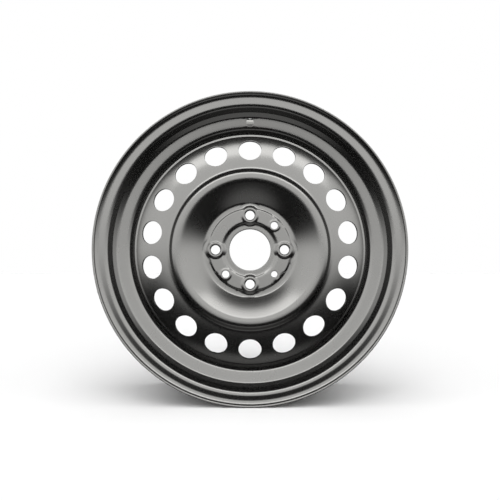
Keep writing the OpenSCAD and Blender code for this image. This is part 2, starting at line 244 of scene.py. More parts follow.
class WheelStage(bpy.types.PropertyGroup):
    """Floor, lamps and camera."""

    floor_colour: colour("Floor", (0.92, 0.92, 0.92), "Colour of the floor")
    camera_distance: length("Camera distance", 0.85, "Distance from the lip to the camera")
    camera_drop: length("Camera drop", 0.014, "Height of the axle above the camera")
    lens: FloatProperty(name="Lens", description="Focal length", default=44.15, unit="CAMERA")
    shift: FloatProperty(name="Shift", description="Upward shift of the frame", default=0.019)
    dome: FloatProperty(name="Dome", description="Strength of the mirrored sky", default=1.0)
    ambient: FloatProperty(name="Ambient", description="Dome's light on dull things", default=0.02)
    softbox: FloatProperty(name="Softbox", description="Power of the softbox", default=11.0)
    softbox_width: length("Softbox width", 3.2, "Width of the softbox")
    softbox_depth: length("Softbox depth", 1.0, "Depth of the softbox")
    sun: FloatProperty(name="Sun", description="Strength of the floor's lights", default=4.9)
    sun_width: angle("Sun width", 60, "Width of each of the floor's lights")


SETTINGS = {
    "rim": WheelRimSizes,
    "disc": WheelDiscSizes,
    "lugs": WheelLugSizes,
    "welds": WheelWeldSizes,
    "finish": WheelFinish,
    "stage": WheelStage,
}


def setting(name):
    """The property group of that name."""
    return getattr(bpy.context.scene, f"wheel_{name}")


# Plane geometry of bent sheets, in a half plane of [radius, place along the axle]. A bend is cut
# at least every BEND_STEP and every BEND_RUN, and isn't tighter than FOLD_RADIUS on either side.

BEND_STEP = math.radians(9)
BEND_RUN = 3 * MM
BEND_CUTS = 3
FOLD_RADIUS = 0.5 * MM
CAP_STEPS = 3


def left_of(v):
    """The vector turned a quarter to the left."""
    return Vector((-v.y, v.x))


def meet(p, u, q, v):
    """Point where the line through p along u crosses the line through q along v."""
    return p + u * ((q - p).cross(v) / u.cross(v))


class Corner:
    """One corner of a bent line, and the radius of its bend."""

    def __init__(self, radius, place, bend=0.0):
        self.at = Vector((radius, place))
        self.bend = bend


def bend_points(before, corner, after, offset):
    """Points of a bend on the line that lies offset to the left of the corners."""
    u = (corner.at - before.at).normalized()
    v = (after.at - corner.at).normalized()
    side = -1 if u.cross(v) < 0 else 1
    turn = math.acos(min(1.0, u.dot(v)))
    mitre = corner.at + (left_of(u) + left_of(v)) * (offset / (1 + u.dot(v)))
    radius = max(FOLD_RADIUS, corner.bend - side * offset)
    centre = mitre - u * (radius * math.tan(turn / 2)) + left_of(u) * (side * radius)
    steps = max(
        BEND_CUTS, math.ceil(turn / BEND_STEP), math.ceil(turn * corner.bend / BEND_RUN)
    )
    out = left_of(u) * (-side * radius)
    return [centre + Matrix.Rotation(side * turn * k / steps, 2) @ out for k in range(steps + 1)]


def run_points(start, end, count):
    """Points strictly between start and end."""
    return [start.lerp(end, k / (count + 1)) for k in range(1, count + 1)]


def sheet_rows(corners, thickness, edge_radius, row_gap):
    """Both faces of a bent sheet as two lists of points, row for row, without the rounded ends.
    The near face follows the corners and the far face lies to its left. row_gap gives the
    distance between rows on a straight run, for a radius."""
    near, far = [], []
    first = (corners[1].at - corners[0].at).normalized()
    last = (corners[-1].at - corners[-2].at).normalized()
    near.append(corners[0].at + first * edge_radius)
    far.append(near[0] + left_of(first) * thickness)
    stops = [
        (bend_points(a, b, c, 0), bend_points(a, b, c, thickness))
        for a, b, c in zip(corners, corners[1:], corners[2:])
    ]
    end = corners[-1].at - last * edge_radius
    stops.append(([end], [end + left_of(last) * thickness]))
    for near_stop, far_stop in stops:
        start = near[-1]
        gap = (near_stop[0] - start).length
        count = max(0, math.ceil(gap / row_gap((start.x + near_stop[0].x) / 2)) - 1)
        near += run_points(start, near_stop[0], count) + near_stop
        far += run_points(far[-1], far_stop[0], count) + far_stop
    return near, far


def cap_points(start, end, out, radius):
    """Points of a cut edge with two rounded corners, strictly between start and end."""
    across = (end - start).normalized()
    points = []
    for centre, first, second in (
        (start + across * radius, -across, out),
        (end - across * radius, out, across),
    ):
        for k in range(CAP_STEPS + 1):
            turn = math.radians(90) * k / CAP_STEPS
            points.append(centre + (first * math.cos(turn) + second * math.sin(turn)) * radius)
    return points[1:-1]


# A sheet is spun through one sector, which is then doubled until it is whole.

SECTORS = 8
MERGE_GAP = 0.001 * MM


def spin_sheet(near, far, edge_radius, columns):
    """A closed sheet spun about the axle. Each vertex keeps its row and its side of the sheet."""
    bm = bmesh.new()
    row_of = bm.verts.layers.int.new("row")
    side_of = bm.verts.layers.int.new("side")
    end_out = (near[-1] - near[-2]).normalized()
    start_out = (near[0] - near[1]).normalized()
    loop = [(p, row, NEAR) for row, p in enumerate(near)]
    loop += [(p, 0, CAP) for p in cap_points(near[-1], far[-1], end_out, edge_radius)]
    loop += [(p, row, FAR) for row, p in reversed(list(enumerate(far)))]
    loop += [(p, 0, CAP) for p in cap_points(far[0], near[0], start_out, edge_radius)]
    verts = []
    for p, row, side in loop:
        vert = bm.verts.new((0, p.y, p.x))
        vert[row_of] = row
        vert[side_of] = side
        verts.append(vert)
    edges = [bm.edges.new(pair) for pair in zip(verts, verts[1:] + verts[:1])]
    bmesh.ops.spin(
        bm, geom=verts + edges, cent=(0, 0, 0), axis=AXLE, dvec=(0, 0, 0),
        angle=math.tau / SECTORS, steps=columns // SECTORS, use_merge=False, use_duplicate=False,
    )
    sectors = 1
    while sectors < SECTORS:
        turned = Matrix.Rotation(math.tau * sectors / SECTORS, 3, "Y")
        copied = bmesh.ops.duplicate(bm, geom=bm.verts[:] + bm.edges[:] + bm.faces[:])["geom"]
        moved = [part for part in copied if isinstance(part, bmesh.types.BMVert)]
        bmesh.ops.rotate(bm, verts=moved, cent=(0, 0, 0), matrix=turned)
        sectors *= 2
    bmesh.ops.remove_doubles(bm, verts=bm.verts, dist=MERGE_GAP)
    return bm


class PlainFace:
    """One face of a sheet as it is spun, as the place along the axle over each radius."""

    def __init__(self, points):
        self.radii = [p.x for p in points]
        self.places = [p.y for p in points]

    def place(self, point):
        """Place along the axle over a point."""
        return self.place_at(math.hypot(point.x, point.z))

    def place_at(self, radius):
        """Place along the axle over a radius."""
        k = min(max(bisect_right(self.radii, radius), 1), len(self.radii) - 1)
        low, high = self.radii[k - 1], self.radii[k]
        part = min(max((radius - low) / (high - low), 0.0), 1.0)
        return self.places[k - 1] + (self.places[k] - self.places[k - 1]) * part


def clock_point(clock, radius, place=0.0):
    """Point at an angle counted clockwise from the top, as seen from the street."""
    return Vector((radius * math.sin(clock), place, radius * math.cos(clock)))


def clock_of(point):
    """That angle of a point."""
    return math.atan2(point.x, point.z)


def clock_gap(a, b):
    """Smallest angle between two clock angles."""
    return abs((a - b + math.pi) % math.tau - math.pi)


# Steps that find the sheet along a hole's tilted axis

AXIS_STEPS = 5


class Hole:
    """A round hole through the sheet: its centre, the tilt of its axis towards the axle, and its
    ring radii from the outermost to the hole's own edge. fade counts the rings outside them."""

    def __init__(self, clock, radius, rings, tilt=0.0, place=0.0, fade=2):
        self.clock = clock
        self.centre = clock_point(clock, radius, place)
        self.outward = clock_point(clock, 1)
        self.along = clock_point(clock + math.radians(90), 1)
        self.rings = rings
        self.tilt = tilt
        self.fade = fade

    def polar(self, point):
        """Distance and direction of a point from the hole's axis."""
        from_centre = point - self.centre
        from_axis = from_centre + self.outward * (from_centre.y * math.tan(self.tilt))
        u = from_axis.dot(self.outward) * math.cos(self.tilt)
        v = from_axis.dot(self.along)
        return math.hypot(u, v), math.atan2(v, u)

    def point(self, distance, direction, lift):
        """Point of the sheet at a distance and a direction from the hole's axis."""
        u = distance * math.cos(direction) / math.cos(self.tilt)
        v = distance * math.sin(direction)
        level = self.centre + self.outward * u + self.along * v
        point = level.copy()
        for _ in range(AXIS_STEPS if self.tilt else 1):
            drop = lift(point) - self.centre.y
            point = level - self.outward * (drop * math.tan(self.tilt))
            point.y += drop
        return point


def patch_faces(bm, side, rows, clocks, half_turn):
    """Faces of one side of the sheet within a range of rows, one list for each sector."""
    row_of = bm.verts.layers.int["row"]
    side_of = bm.verts.layers.int["side"]
    chosen = {v for v in bm.verts if v[side_of] == side and rows[0] <= v[row_of] <= rows[1]}
    patches = [[] for _ in clocks]
    for face in bm.faces:
        if chosen.issuperset(face.verts):
            at = clock_of(face.calc_center_median())
            gaps = [clock_gap(at, clock) for clock in clocks]
            nearest = gaps.index(min(gaps))
            if gaps[nearest] < half_turn:
                patches[nearest].append(face)
    return patches


def border(faces):
    """Edges round a patch of faces."""
    inner = set(faces)
    edges = dict.fromkeys(edge for face in faces for edge in face.edges)
    return [edge for edge in edges if any(face not in inner for face in edge.link_faces)]


class Closing:
    """The rings of edges that close in on some holes together, on one side of the sheet. Each
    vertex keeps its direction from its own hole."""

    def __init__(self, bm, patches, holes, lift):
        self.bm = bm
        self.lift = lift
        self.holes = holes
        self.rings = [border(patch) for patch in patches]
        self.hole_of = {}
        for ring, hole in zip(self.rings, holes):
            for vert in {v for edge in ring for v in edge.verts}:
                self.hole_of[vert] = (hole, *hole.polar(vert.co))
        bmesh.ops.delete(bm, geom=[face for patch in patches for face in patch], context="FACES")

    def step(self, distance, height=None):
        """Grows all rings by one. distance takes a hole and the reach of a vertex at the patch's
        border. height replaces the form of the sheet."""
        edges = [edge for ring in self.rings for edge in ring]
        grown = bmesh.ops.extrude_edge_only(self.bm, edges=edges)["geom"]
        fresh = {part for part in grown if isinstance(part, bmesh.types.BMVert)}
        hole_of = {}
        for vert in fresh:
            source = next(v for e in vert.link_edges if (v := e.other_vert(vert)) not in fresh)
            hole, reach, direction = self.hole_of[source]
            vert.co = hole.point(distance(hole, reach), direction, self.lift)
            if height is not None:
                vert.co.y = -height
            hole_of[vert] = (hole, reach, direction)
        self.hole_of = hole_of
        by_hole = {}
        for edge in grown:
            if isinstance(edge, bmesh.types.BMEdge) and fresh.issuperset(edge.verts):
                by_hole.setdefault(hole_of[edge.verts[0]][0], []).append(edge)
        self.rings = [by_hole[hole] for hole in self.holes]

    def close(self):
        """Goes from the patch's border to the holes' own edges."""
        first = self.holes[0]
        for k in range(1, first.fade + 1):
            part = k / (first.fade + 1)
            self.step(lambda hole, reach: reach + (hole.rings[0] - reach) * part)
        for k in range(len(first.rings)):
            self.step(lambda hole, reach: hole.rings[k])


def finish_piece(bm, name, material, replaced, sharp=40):
    """Makes the piece's object, smooth apart from folds of more than sharp degrees, hangs it on the body
    and hides the imported parts that it replaces. Reflections show the sky and the softbox alone."""
    bmesh.ops.recalc_face_normals(bm, faces=bm.faces)
    mesh = bpy.data.meshes.new(name)
    bm.to_mesh(mesh)
    bm.free()
    mesh.shade_smooth()
    mesh.set_sharp_from_angle(angle=math.radians(sharp))
    mesh.materials.append(material)
    piece = bpy.data.objects.new(name, mesh)
    bpy.context.scene.collection.objects.link(piece)
    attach(piece, BODY)
    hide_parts(*replaced)
    piece.visible_glossy = False
    return piece


# Shared shader effects


def new_group(name, inputs, outputs):
    """An empty shader group with named sockets, and its input and output nodes."""
    tree = bpy.data.node_groups.new(name, "ShaderNodeTree")
    for socket, kind, default in inputs:
        made = tree.interface.new_socket(name=socket, in_out="INPUT", socket_type=kind)
        if default is not None:
            made.default_value = default
    for socket, kind in outputs:
        tree.interface.new_socket(name=socket, in_out="OUTPUT", socket_type=kind)
    return tree, tree.nodes.new("NodeGroupInput"), tree.nodes.new("NodeGroupOutput")


def orange_peel_group():
    """The fine waviness of sprayed paint: a height, and the roughness that goes with it."""
    tree, source, sink = new_group(
        "Orange Peel",
        [
            ("Vector", "NodeSocketVector", None),
            ("Cells Per Metre", "NodeSocketFloat", 450.0),
            ("Roughness", "NodeSocketFloat", 0.27),
            ("Roughness Spread", "NodeSocketFloat", 0.04),
        ],
        [("Height", "NodeSocketFloat"), ("Roughness", "NodeSocketFloat")],
    )
    nodes, links = tree.nodes, tree.links
    peel = nodes.new("ShaderNodeTexNoise")
    peel.inputs["Detail"].default_value = 2.0
    cloud = nodes.new("ShaderNodeTexNoise")
    cloud.inputs["Scale"].default_value = 24.0
    cloud.inputs["Detail"].default_value = 3.0
    spread = nodes.new("ShaderNodeMath")
    spread.operation = "SUBTRACT"
    spread.inputs[1].default_value = 0.5
    scaled = nodes.new("ShaderNodeMath")
    scaled.operation = "MULTIPLY_ADD"
    links.new(source.outputs["Vector"], peel.inputs["Vector"])
    links.new(source.outputs["Cells Per Metre"], peel.inputs["Scale"])
    links.new(source.outputs["Vector"], cloud.inputs["Vector"])
    links.new(cloud.outputs["Fac"], spread.inputs[0])
    links.new(spread.outputs[0], scaled.inputs[0])
    links.new(source.outputs["Roughness Spread"], scaled.inputs[1])
    links.new(source.outputs["Roughness"], scaled.inputs[2])
    links.new(peel.outputs["Fac"], sink.inputs["Height"])
    links.new(scaled.outputs[0], sink.inputs["Roughness"])
    return tree


def mottle_group():
    """Faint clouds and flake sparkle in a metallic paint's colour."""
    tree, source, sink = new_group(
        "Paint Mottle",
        [
            ("Vector", "NodeSocketVector", None),
            ("Color", "NodeSocketColor", (0.3, 0.3, 0.3, 1.0)),
            ("Mottle", "NodeSocketFloat", 0.05),
        ],
        [("Color", "NodeSocketColor")],
    )
    nodes, links = tree.nodes, tree.links
    cloud = nodes.new("ShaderNodeTexNoise")
    cloud.inputs["Scale"].default_value = 60.0
    cloud.inputs["Detail"].default_value = 4.0
    flake = nodes.new("ShaderNodeTexVoronoi")
    flake.inputs["Scale"].default_value = 1600.0
    both = nodes.new("ShaderNodeMath")
    both.operation = "ADD"
    centred = nodes.new("ShaderNodeMath")
    centred.operation = "SUBTRACT"
    centred.inputs[1].default_value = 0.95
    gain = nodes.new("ShaderNodeMath")
    gain.operation = "MULTIPLY_ADD"
    gain.inputs[2].default_value = 1.0
    tinted = nodes.new("ShaderNodeVectorMath")
    tinted.operation = "SCALE"
    links.new(source.outputs["Vector"], cloud.inputs["Vector"])
    links.new(source.outputs["Vector"], flake.inputs["Vector"])
    links.new(cloud.outputs["Fac"], both.inputs[0])
    links.new(flake.outputs["Distance"], both.inputs[1])
    links.new(both.outputs[0], centred.inputs[0])
    links.new(centred.outputs[0], gain.inputs[0])
    links.new(source.outputs["Mottle"], gain.inputs[1])
    links.new(source.outputs["Color"], tinted.inputs[0])
    links.new(gain.outputs[0], tinted.inputs["Scale"])
    links.new(tinted.outputs[0], sink.inputs["Color"])
    return tree


def shared_group(name, make):
    """The shader group of that name, made on first use."""
    return bpy.data.node_groups.get(name) or make()


def paint_material(name, look, paint, roughness, peel_depth):
    """Satin metallic paint with orange peel and faint clouds."""
    material = bpy.data.materials.new(name)
    material.use_nodes = True
    nodes, links = material.node_tree.nodes, material.node_tree.links
    shader = nodes["Principled BSDF"]
    place = nodes.new("ShaderNodeTexCoord")
    peel = nodes.new("ShaderNodeGroup")
    peel.node_tree = shared_group("Orange Peel", orange_peel_group)
    peel.inputs["Roughness"].default_value = roughness
    clouds = nodes.new("ShaderNodeGroup")
    clouds.node_tree = shared_group("Paint Mottle", mottle_group)
    clouds.inputs["Color"].default_value = (*paint, 1.0)
    clouds.inputs["Mottle"].default_value = look.mottle
    bump = nodes.new("ShaderNodeBump")
    bump.inputs["Strength"].default_value = 1.0
    bump.inputs["Distance"].default_value = peel_depth
    shader.inputs["Metallic"].default_value = look.metallic
    # Partly painted shade: the dark edge tint dims reflections at a low angle, darkening grazing bands
    # such as the bead seat in place of the wheel's own shade.
    shader.inputs["Specular Tint"].default_value = (*look.edge_tint_and_shade, 1.0)
    links.new(place.outputs["Object"], peel.inputs["Vector"])
    links.new(place.outputs["Object"], clouds.inputs["Vector"])
    links.new(clouds.outputs["Color"], shader.inputs["Base Color"])
    links.new(peel.outputs["Roughness"], shader.inputs["Roughness"])
    links.new(peel.outputs["Height"], bump.inputs["Height"])
    links.new(bump.outputs["Normal"], shader.inputs["Normal"])
    return material


def rim_corners(s):
    """Corners of the rim's tyre side, from the street side's lip inwards."""
    curl = Vector((s.seat_radius + s.flange_height - s.curl_radius, -s.curl_radius))
    lip_run = Vector((math.sin(s.lip_slope), math.cos(s.lip_slope)))
    lip_at = curl + Vector((math.cos(s.lip_slope), -math.sin(s.lip_slope))) * s.curl_radius
    wall_run = Vector((math.cos(s.flange_lean), math.sin(s.flange_lean)))
    wall_at = curl + Vector((-math.sin(s.flange_lean), math.cos(s.flange_lean))) * s.curl_radius
    lip_end = lip_at - lip_run * ((s.flange_width + lip_at.y) / math.cos(s.lip_slope))
    curl_corner = meet(lip_at, lip_run, wall_at, wall_run)
    seat_at = Vector((s.seat_radius, 0))
    heel_corner = meet(wall_at, wall_run, seat_at, Vector((-math.tan(s.seat_slope), 1)))
    hump_foot = s.seat_radius - s.seat_width * math.tan(s.seat_slope)
    flange = [
        (lip_end.x, lip_end.y, 0),
        (curl_corner.x, curl_corner.y, s.curl_radius),
        (heel_corner.x, heel_corner.y, s.heel_radius),
        (hump_foot, s.seat_width, s.hump_foot_bend),
        (hump_foot + s.hump_height, s.seat_width + s.hump_run, s.hump_bend),
    ]
    edge = s.width / 2
    wall_foot = s.wall_in + (s.well_depth - s.wall_drop) * math.tan(s.wall_slope) - edge
    well = s.seat_radius - s.well_depth
    middle = [
        Corner(s.seat_radius - s.wall_drop, s.wall_in - edge, s.wall_top_bend),
        Corner(well, wall_foot, s.wall_foot_bend),
        Corner(well, wall_foot + s.well_width, s.slope_foot_bend),
        Corner(s.seat_radius - s.wall_drop, edge - s.inner_slope_in, s.slope_top_bend),
    ]
    outer = [Corner(r, y - edge, bend) for r, y, bend in flange]
    inner = [Corner(r, edge - y, bend) for r, y, bend in reversed(flange)]
    return outer + middle + inner


def disc_corners(s):
    """Corners of the disc's street side, from the bore to the skirt's end."""
    bore = MOUNTS["hub_bore"]["dims"]["r_mm"] * MM
    seat = MOUNTS["hub_seat"]["pos_m"][1] - s.thickness
    ring_in, ring_out = LUG_CIRCLE - s.ring_width / 2, LUG_CIRCLE + s.ring_width / 2
    foot = ring_out + s.outer_step_run + s.seat_ring_width
    nose = seat - s.nose_height
    nose_in, nose_out = s.nose_radius - s.nose_width / 2, s.nose_radius + s.nose_width / 2
    groove_r, groove_y = nose_out + s.nose_fall_run, nose + s.nose_fall
    skirt = DISC_HIGH.x
    brow_r = skirt - s.brow_width
    ledge_r = brow_r - s.ledge_width
    shoulder_r = ledge_r - s.shoulder_run
    shoulder_y = groove_y + (shoulder_r - groove_r) * math.tan(s.vent_ring_slope)
    ledge_y = shoulder_y + s.shoulder_run * math.tan(s.shoulder_slope)
    brow_y = ledge_y + s.ledge_width * math.tan(s.ledge_slope)
    skirt_y = brow_y + s.brow_width * math.tan(s.brow_slope)
    return [
        Corner(bore, seat),
        Corner(ring_in - s.inner_step_run, seat, s.inner_foot_bend),
        Corner(ring_in, seat - s.ring_height, s.inner_step_bend),
        Corner(ring_out, seat - s.ring_height, s.outer_step_bend),
        Corner(ring_out + s.outer_step_run, seat, s.outer_step_bend),
        Corner(foot, seat, s.dish_foot_bend),
        Corner((foot + nose_in) / 2, (seat + nose) / 2 - s.dish_bow, s.dish_bend),
        Corner(nose_in, nose, s.nose_in_bend),
        Corner(nose_out, nose, s.nose_out_bend),
        Corner(groove_r, groove_y, s.groove_bend),
        Corner(shoulder_r, shoulder_y, s.shoulder_bend),
        Corner(ledge_r, ledge_y, s.ledge_bend),
        Corner(brow_r, brow_y, s.brow_bend),
        Corner(skirt, skirt_y, s.skirt_bend),
        Corner(skirt, skirt_y + s.skirt_length),
    ]


def smooth_max(a, b, soft):
    """The larger of two heights, with a fold of that softness where they cross."""
    blend = max(soft - abs(a - b), 0.0) / soft
    return max(a, b) + blend * blend * soft / 4


def smooth_min(a, b, soft):
    """The smaller of two heights, with such a fold."""
    return -smooth_max(-a, -b, soft)


# How far out from the dish's foot the pressed forms reach

FORM_REACH = 30 * MM


class DiscFace:
    """One side of the disc with its crowns, collars and wrench room pressed in. Heights count
    from the wheel's middle towards the street."""

    def __init__(self, points, side, disc, lugs):
        skirt_row = max(range(len(points)), key=lambda k: points[k].x)
        self.plain = PlainFace(points[:skirt_row])
        self.side = side
        self.disc, self.lugs = disc, lugs
        self.seat = -MOUNTS["hub_seat"]["pos_m"][1] + disc.thickness
        self.ring = self.seat + disc.ring_height
        self.lug_centres = [clock_point(clock, LUG_CIRCLE) for clock in LUG_CLOCKS]
        self.collar_centres = [clock_point(clock, LUG_CIRCLE) for clock in LOCATING_CLOCKS]
        foot = LUG_CIRCLE + disc.ring_width / 2 + disc.outer_step_run + disc.seat_ring_width
        self.dish_start = foot - disc.dish_foot_bend
        self.reach = self.dish_start + FORM_REACH

    def frustum(self, distance, top_radius, top):
        """Height of a crown with a sloping side and a soft brim."""
        side = top - (distance - top_radius) * math.tan(self.lugs.crown_slope)
        return smooth_min(top, side, self.lugs.crown_brim)

    def height(self, point):
        """Height of the pressed sheet over a point."""
        radius = math.hypot(point.x, point.z)
        height = -self.plain.place_at(radius)
        if radius > self.reach:
            return height
        flat = Vector((point.x, 0, point.z))
        lug_gap = min((flat - c).length for c in self.lug_centres)
        collar_gap = min((flat - c).length for c in self.collar_centres)
        s = self.lugs
        if self.side == FAR:
            hollow_radius = s.crown_radius - self.disc.thickness / 2
            hollow_top = self.ring + s.crown_height - self.disc.thickness
            hollow = self.frustum(lug_gap, hollow_radius, hollow_top)
            return smooth_max(height, hollow, s.crown_foot)
        if radius > self.dish_start:
            room = self.seat + max(0.0, lug_gap - s.socket_radius) * math.tan(s.socket_slope)
            height = smooth_min(height, room, s.socket_fold)
        crown = self.frustum(lug_gap, s.crown_radius, self.ring + s.crown_height)
        collar = self.frustum(collar_gap, s.collar_radius, self.ring + s.collar_height)
        height = smooth_max(height, crown, s.crown_foot)
        return smooth_max(height, collar, s.crown_foot / 2)

    def place(self, point):
        """Place along the axle over a point."""
        return -self.height(point)


def press_forms(bm, faces):
    """Moves the vertices of both sides to the pressed forms."""
    side_of = bm.verts.layers.int["side"]
    for vert in bm.verts:
        face = faces.get(vert[side_of])
        if face and math.hypot(vert.co.x, vert.co.z) < face.reach:
            vert.co.y += face.place(vert.co) - face.plain.place(vert.co)


def rows_round(points, circle, inward, outward):
    """First and last row that lie that far inward and outward of a circle."""
    rows = [k for k, p in enumerate(points) if circle - inward <= p.x <= circle + outward]
    return rows[0], rows[-1]


def pierce(bm, faces, holes, rows, half_turn, edge_radius, waist=None):
    """Opens round holes through both sides of the sheet and rounds their edges. holes gives a
    list of holes for each side, and waist a radius and a height inside them, below the near edge."""
    sides = []
    for side in (NEAR, FAR):
        clocks = [hole.clock for hole in holes[side]]
        patches = patch_faces(bm, side, rows, clocks, half_turn)
        closing = Closing(bm, patches, holes[side], faces[side].place)
        closing.close()
        sides.append(closing)
    rims = [edge for closing in sides for ring in closing.rings for edge in ring]
    if waist:
        sides[NEAR].step(lambda hole, reach: waist[0], waist[1])
    for near, far in zip(sides[NEAR].rings, sides[FAR].rings):
        bmesh.ops.bridge_loops(bm, edges=near + far)
    bmesh.ops.bevel(
        bm, geom=rims, offset=edge_radius, offset_type="OFFSET", segments=2, profile=0.5,
        affect="EDGES", clamp_overlap=True, material=-1,
    )


def plain_rings(radius):
    """Ring radii of a hole in a plain stretch of sheet."""
    return [radius + 1.2 * MM, radius + 0.6 * MM, radius]


# The patch round the valve hole: how far above the well wall's foot it starts, how far above the
# wall's top it ends, and how many columns of the rim it takes to each side

WALL_FOOT_RISE = 0.4 * MM
WALL_TOP_RISE = 0.5 * MM
VALVE_COLUMNS = 3.2


class WHEEL_OT_rim(bpy.types.Operator):
    """Spin the rolled rim from its outline and pierce the valve hole"""

    bl_idname = "wheel.rim"
    bl_label = "Rolled Rim"

    def execute(self, context):
        s = setting("rim")
        look = setting("finish")
        corners = rim_corners(s)
        near, far = sheet_rows(corners, s.thickness, s.edge_radius, lambda radius: s.row_gap)
        bm = spin_sheet(near, far, s.edge_radius, s.columns)
        low = s.seat_radius - s.well_depth + WALL_FOOT_RISE
        high = s.seat_radius - s.wall_drop + WALL_TOP_RISE
        rows = [k for k, p in enumerate(near) if p.y < 0 and low < p.x < high]
        faces = [PlainFace([side[k] for k in reversed(rows)]) for side in (near, far)]
        valve = MOUNTS["valve_hole"]
        centre = Vector(valve["pos_m"])
        rings = plain_rings(valve["dims"]["r_mm"] * MM)
        holes = [Hole(0, centre.z, rings, tilt=-s.wall_slope, place=centre.y)]
        half_turn = math.tau / s.columns * VALVE_COLUMNS
        pierce(bm, faces, [holes, holes], (rows[0], rows[-1]), half_turn, s.valve_edge)
        paint = paint_material("rim_paint", look, look.paint, look.roughness, look.peel_depth)
        finish_piece(bm, "rim_sheet", paint, ["rim"])
        return {"FINISHED"}


# The mesh round the holes of the disc: ring radii from the outermost in, on the crowns, in
# their hollows, on the collars and round the screw hole, the rings that lead out to the patch's
# border, and how far each patch reaches inward, outward and round the axle

CROWN_RINGS = [r * MM for r in (16, 15.2, 14.4, 13.6, 12.9, 12.2, 11.6, 11.1, 10.6, 10.1, 9.4)]
HOLLOW_RINGS = [r * MM for r in (14.5, 13.4, 12.4, 11.4, 10.4, 9.6, 8.9, 8.2, 7.7)]
COLLAR_RINGS = [r * MM for r in (9.2, 8.6, 8.1, 7.6, 7.1, 6.4)]
SCREW_RINGS = [r * MM for r in (7, 5.6)]
CROWN_FADE = 6
CROWN_PATCH = (17.2 * MM, 17.6 * MM, math.radians(20))
COLLAR_PATCH = (11.4 * MM, 11.4 * MM, math.radians(13.5))
VENT_PATCH = (20 * MM, 21.5 * MM, 5 / 12)
HUB_REACH = 62 * MM


class WHEEL_OT_disc(bpy.types.Operator):
    """Spin the stamped disc, press its crowns and pierce its holes and vents"""

    bl_idname = "wheel.disc"
    bl_label = "Stamped Disc"

    def execute(self, context):
        s = setting("disc")
        lugs = setting("lugs")
        look = setting("finish")

        def row_gap(radius):
            return s.hub_row_gap if radius < HUB_REACH else s.row_gap

        near, far = sheet_rows(disc_corners(s), s.thickness, s.edge_radius, row_gap)
        bm = spin_sheet(near, far, s.edge_radius, s.columns)
        faces = {
            NEAR: DiscFace(near, NEAR, s, lugs),
            FAR: DiscFace(far, FAR, s, lugs),
        }
        press_forms(bm, faces)
        self.pierce_lugs(bm, faces, near, lugs)
        self.pierce_plain(bm, faces, near, lugs)
        self.pierce_vents(bm, faces, near, s)
        paint = paint_material("disc_paint", look, look.paint, look.roughness, look.peel_depth)
        finish_piece(bm, "disc_sheet", paint, ["disc"])
        return {"FINISHED"}

    def pierce_lugs(self, bm, faces, near, lugs):
        """Opens the coned bolt holes in the crowns."""
        radius = MOUNTS["lug_holes"]["dims"]["hole_r_mm"] * MM
        mouth = radius + lugs.cone_depth * math.tan(lugs.cone_slope)
        waist = (radius, faces[NEAR].ring + lugs.crown_height - lugs.cone_depth)
        inward, outward, half_turn = CROWN_PATCH
        rows = rows_round(near, LUG_CIRCLE, inward, outward)
        holes = [
            [Hole(clock, LUG_CIRCLE, rings, fade=CROWN_FADE) for clock in LUG_CLOCKS]
            for rings in (CROWN_RINGS + [mouth], HOLLOW_RINGS + [radius])
        ]
        pierce(bm, faces, holes, rows, half_turn, lugs.hole_edge, waist)

    def pierce_plain(self, bm, faces, near, lugs):
        """Opens the locating holes in their collars, and the screw hole."""
        locating = MOUNTS["locating_holes"]["dims"]["hole_r_mm"] * MM
        screw = MOUNTS["screw_hole"]
        inward, outward, half_turn = COLLAR_PATCH
        rows = rows_round(near, LUG_CIRCLE, inward, outward)
        for clocks, rings in (
            (LOCATING_CLOCKS, COLLAR_RINGS + [locating]),
            ([clock_of(Vector(screw["pos_m"]))], SCREW_RINGS + [screw["dims"]["r_mm"] * MM]),
        ):
            holes = [Hole(clock, LUG_CIRCLE, rings) for clock in clocks]
            pierce(bm, faces, [holes, holes], rows, half_turn, lugs.hole_edge)

    def pierce_vents(self, bm, faces, near, s):
        """Opens the ring of vents. Each patch takes its share of the space between two of them."""
        circle = DISC_HIGH.x - s.vent_inset
        place = faces[NEAR].plain.place_at(circle)
        inward, outward, turn_share = VENT_PATCH
        rows = rows_round(near, circle, inward, outward)
        rings = plain_rings(s.vent_radius)
        holes = [
            Hole(math.tau * k / s.vent_count, circle, rings, s.vent_tilt, place)
            for k in range(s.vent_count)
        ]
        half_turn = math.tau / s.vent_count * turn_share
        pierce(bm, faces, [holes, holes], rows, half_turn, s.vent_edge)


# The weld bead: its section and its root as shares of the leg, outward and along the axle from
# the corner between rim and skirt, the step of its spin, and the shape of its ripples and ends

BEAD_SECTION = (
    (-0.03, 0.02), (-0.02, 0.96), (-0.28, 0.8), (-0.52, 0.6), (-0.72, 0.36), (-0.88, 0.03)
)
BEAD_ROOT = Vector((-0.1, 0.1))
BEAD_STEP = 0.5 * MM
BEAD_SHARP = 75
CREST_REACH = 0.6
END_REACH = 1.1
END_SIZE = 0.25
WOBBLES_PER_METRE = 220
WOBBLE_SEED = 7.3
WOBBLE_PULL = 0.9
WOBBLE_SWELL = 0.05


